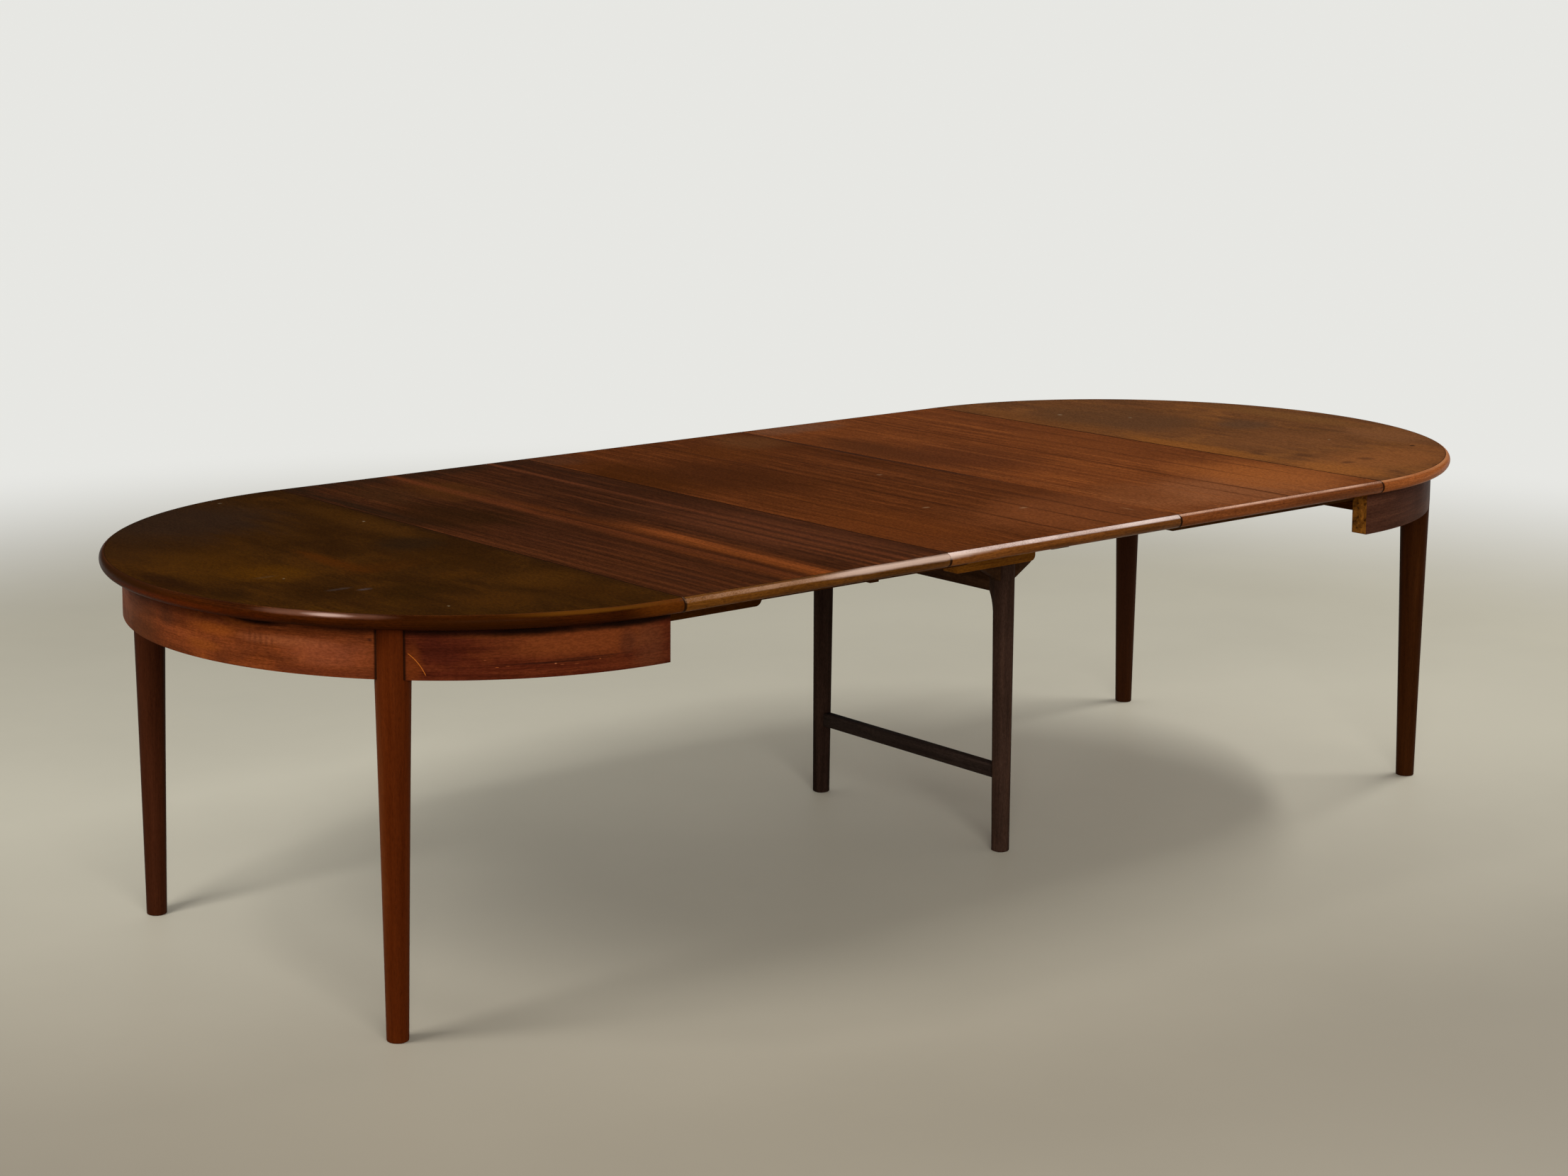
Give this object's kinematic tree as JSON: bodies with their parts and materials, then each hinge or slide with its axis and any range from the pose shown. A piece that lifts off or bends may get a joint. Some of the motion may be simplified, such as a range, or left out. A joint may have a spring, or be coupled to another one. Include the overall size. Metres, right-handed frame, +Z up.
{
  "type": "extending dining table",
  "caption": "Long dining table with round ends, loose leaves in place, turned tapered legs, curved aprons, telescoping runners and a centre support frame with a stretcher.",
  "frame": {"origin": "on the floor under the middle of the top, at the centre of the bounding box", "axes": "+X along the table from the left half to the right half, +Y to the far side, +Z up"},
  "size_m": [3.1, 1.3, 0.73],
  "materials": {
    "half_top": "oiled veneer, satin, olive brown and mottled",
    "leaf_dark": "oiled veneer, satin, dark red brown with orange streaks",
    "leaf_red": "oiled veneer, satin, red brown with fine dark streaks",
    "edging": "oiled solid wood, satin, worn bright along the upper round",
    "apron_wood": "oiled veneer on a bent core, satin",
    "leg_wood": "oiled turned wood, satin",
    "frame_wood": "dark oiled wood, satin",
    "bearer_wood": "plain oiled hardwood",
    "runner_wood": "waxed hardwood",
    "key_wood": "plain hardwood",
    "screw_steel": "dulled steel"
  },
  "bodies": {
    "left_half": {"top_left": "half_top", "lip_left": "edging", "apron_left_end": "apron_wood", "apron_left_near": "apron_wood", "apron_left_far": "apron_wood", "leg_left_near": "leg_wood", "leg_left_far": "leg_wood", "tenons_left": "key_wood", "tie_left": "runner_wood", "runner_left_near": "runner_wood", "runner_left_far": "runner_wood", "screws_left": "screw_steel"},
    "right_half": {"top_right": "half_top", "lip_right": "edging", "apron_right_end": "apron_wood", "apron_right_near": "apron_wood", "apron_right_far": "apron_wood", "leg_right_near": "leg_wood", "leg_right_far": "leg_wood", "tenons_right": "key_wood", "tie_right": "runner_wood", "runner_right_near": "runner_wood", "runner_right_far": "runner_wood", "keys_right_runner": "key_wood", "screws_right": "screw_steel"},
    "centre_frame": {"centre_runner_near": "runner_wood", "centre_runner_far": "runner_wood", "keys_centre": "key_wood", "cross_board_left": "runner_wood", "cross_board_right": "runner_wood", "frame_screws": "screw_steel", "end_batten": "runner_wood", "bearer_near": "bearer_wood", "bearer_far": "bearer_wood", "centre_leg_near": "frame_wood", "centre_leg_far": "frame_wood", "cross_rail": "frame_wood", "stretcher": "frame_wood", "gussets": "frame_wood"},
    "left_slide": {"slide_left_near": "runner_wood", "slide_left_far": "runner_wood", "keys_left_slide": "key_wood"},
    "right_slide": {"slide_right_near": "runner_wood", "slide_right_far": "runner_wood", "keys_right_slide": "key_wood"},
    "leaf_1": {"leaf_1": "leaf_dark", "leaf_1_lip_near": "edging", "leaf_1_lip_far": "edging", "leaf_1_battens": "runner_wood"},
    "leaf_2": {"leaf_2": "leaf_red", "leaf_2_lip_near": "edging", "leaf_2_lip_far": "edging", "leaf_2_battens": "runner_wood"},
    "leaf_3": {"leaf_3": "leaf_red", "leaf_3_lip_near": "edging", "leaf_3_lip_far": "edging", "leaf_3_battens": "runner_wood"}
  },
  "joints": [
    {"name": "half_slide", "type": "slide", "parent": "left_half", "child": "right_half", "axis": [1, 0, 0], "range_m": [0, 0.04]},
    {"name": "frame_slide", "type": "slide", "parent": "left_half", "child": "centre_frame", "axis": [1, 0, 0], "range_m": [-0.2, 0.04]},
    {"name": "left_slide_run", "type": "slide", "parent": "left_half", "child": "left_slide", "axis": [1, 0, 0], "range_m": [-0.1, 0.02]},
    {"name": "right_slide_run", "type": "slide", "parent": "right_half", "child": "right_slide", "axis": [1, 0, 0], "range_m": [-0.1, 0.02]},
    {"name": "leaf_1_lift", "type": "slide", "parent": "left_half", "child": "leaf_1", "axis": [0, 0, 1], "range_m": [0, 0.12]},
    {"name": "leaf_2_lift", "type": "slide", "parent": "left_half", "child": "leaf_2", "axis": [0, 0, 1], "range_m": [0, 0.12]},
    {"name": "leaf_3_lift", "type": "slide", "parent": "left_half", "child": "leaf_3", "axis": [0, 0, 1], "range_m": [0, 0.12]}
  ],
  "couplings": [
    {"joint": "left_slide_run", "follows": "frame_slide", "ratio": 0.5},
    {"joint": "right_slide_run", "follows": "frame_slide", "ratio": 0.5}
  ]
}
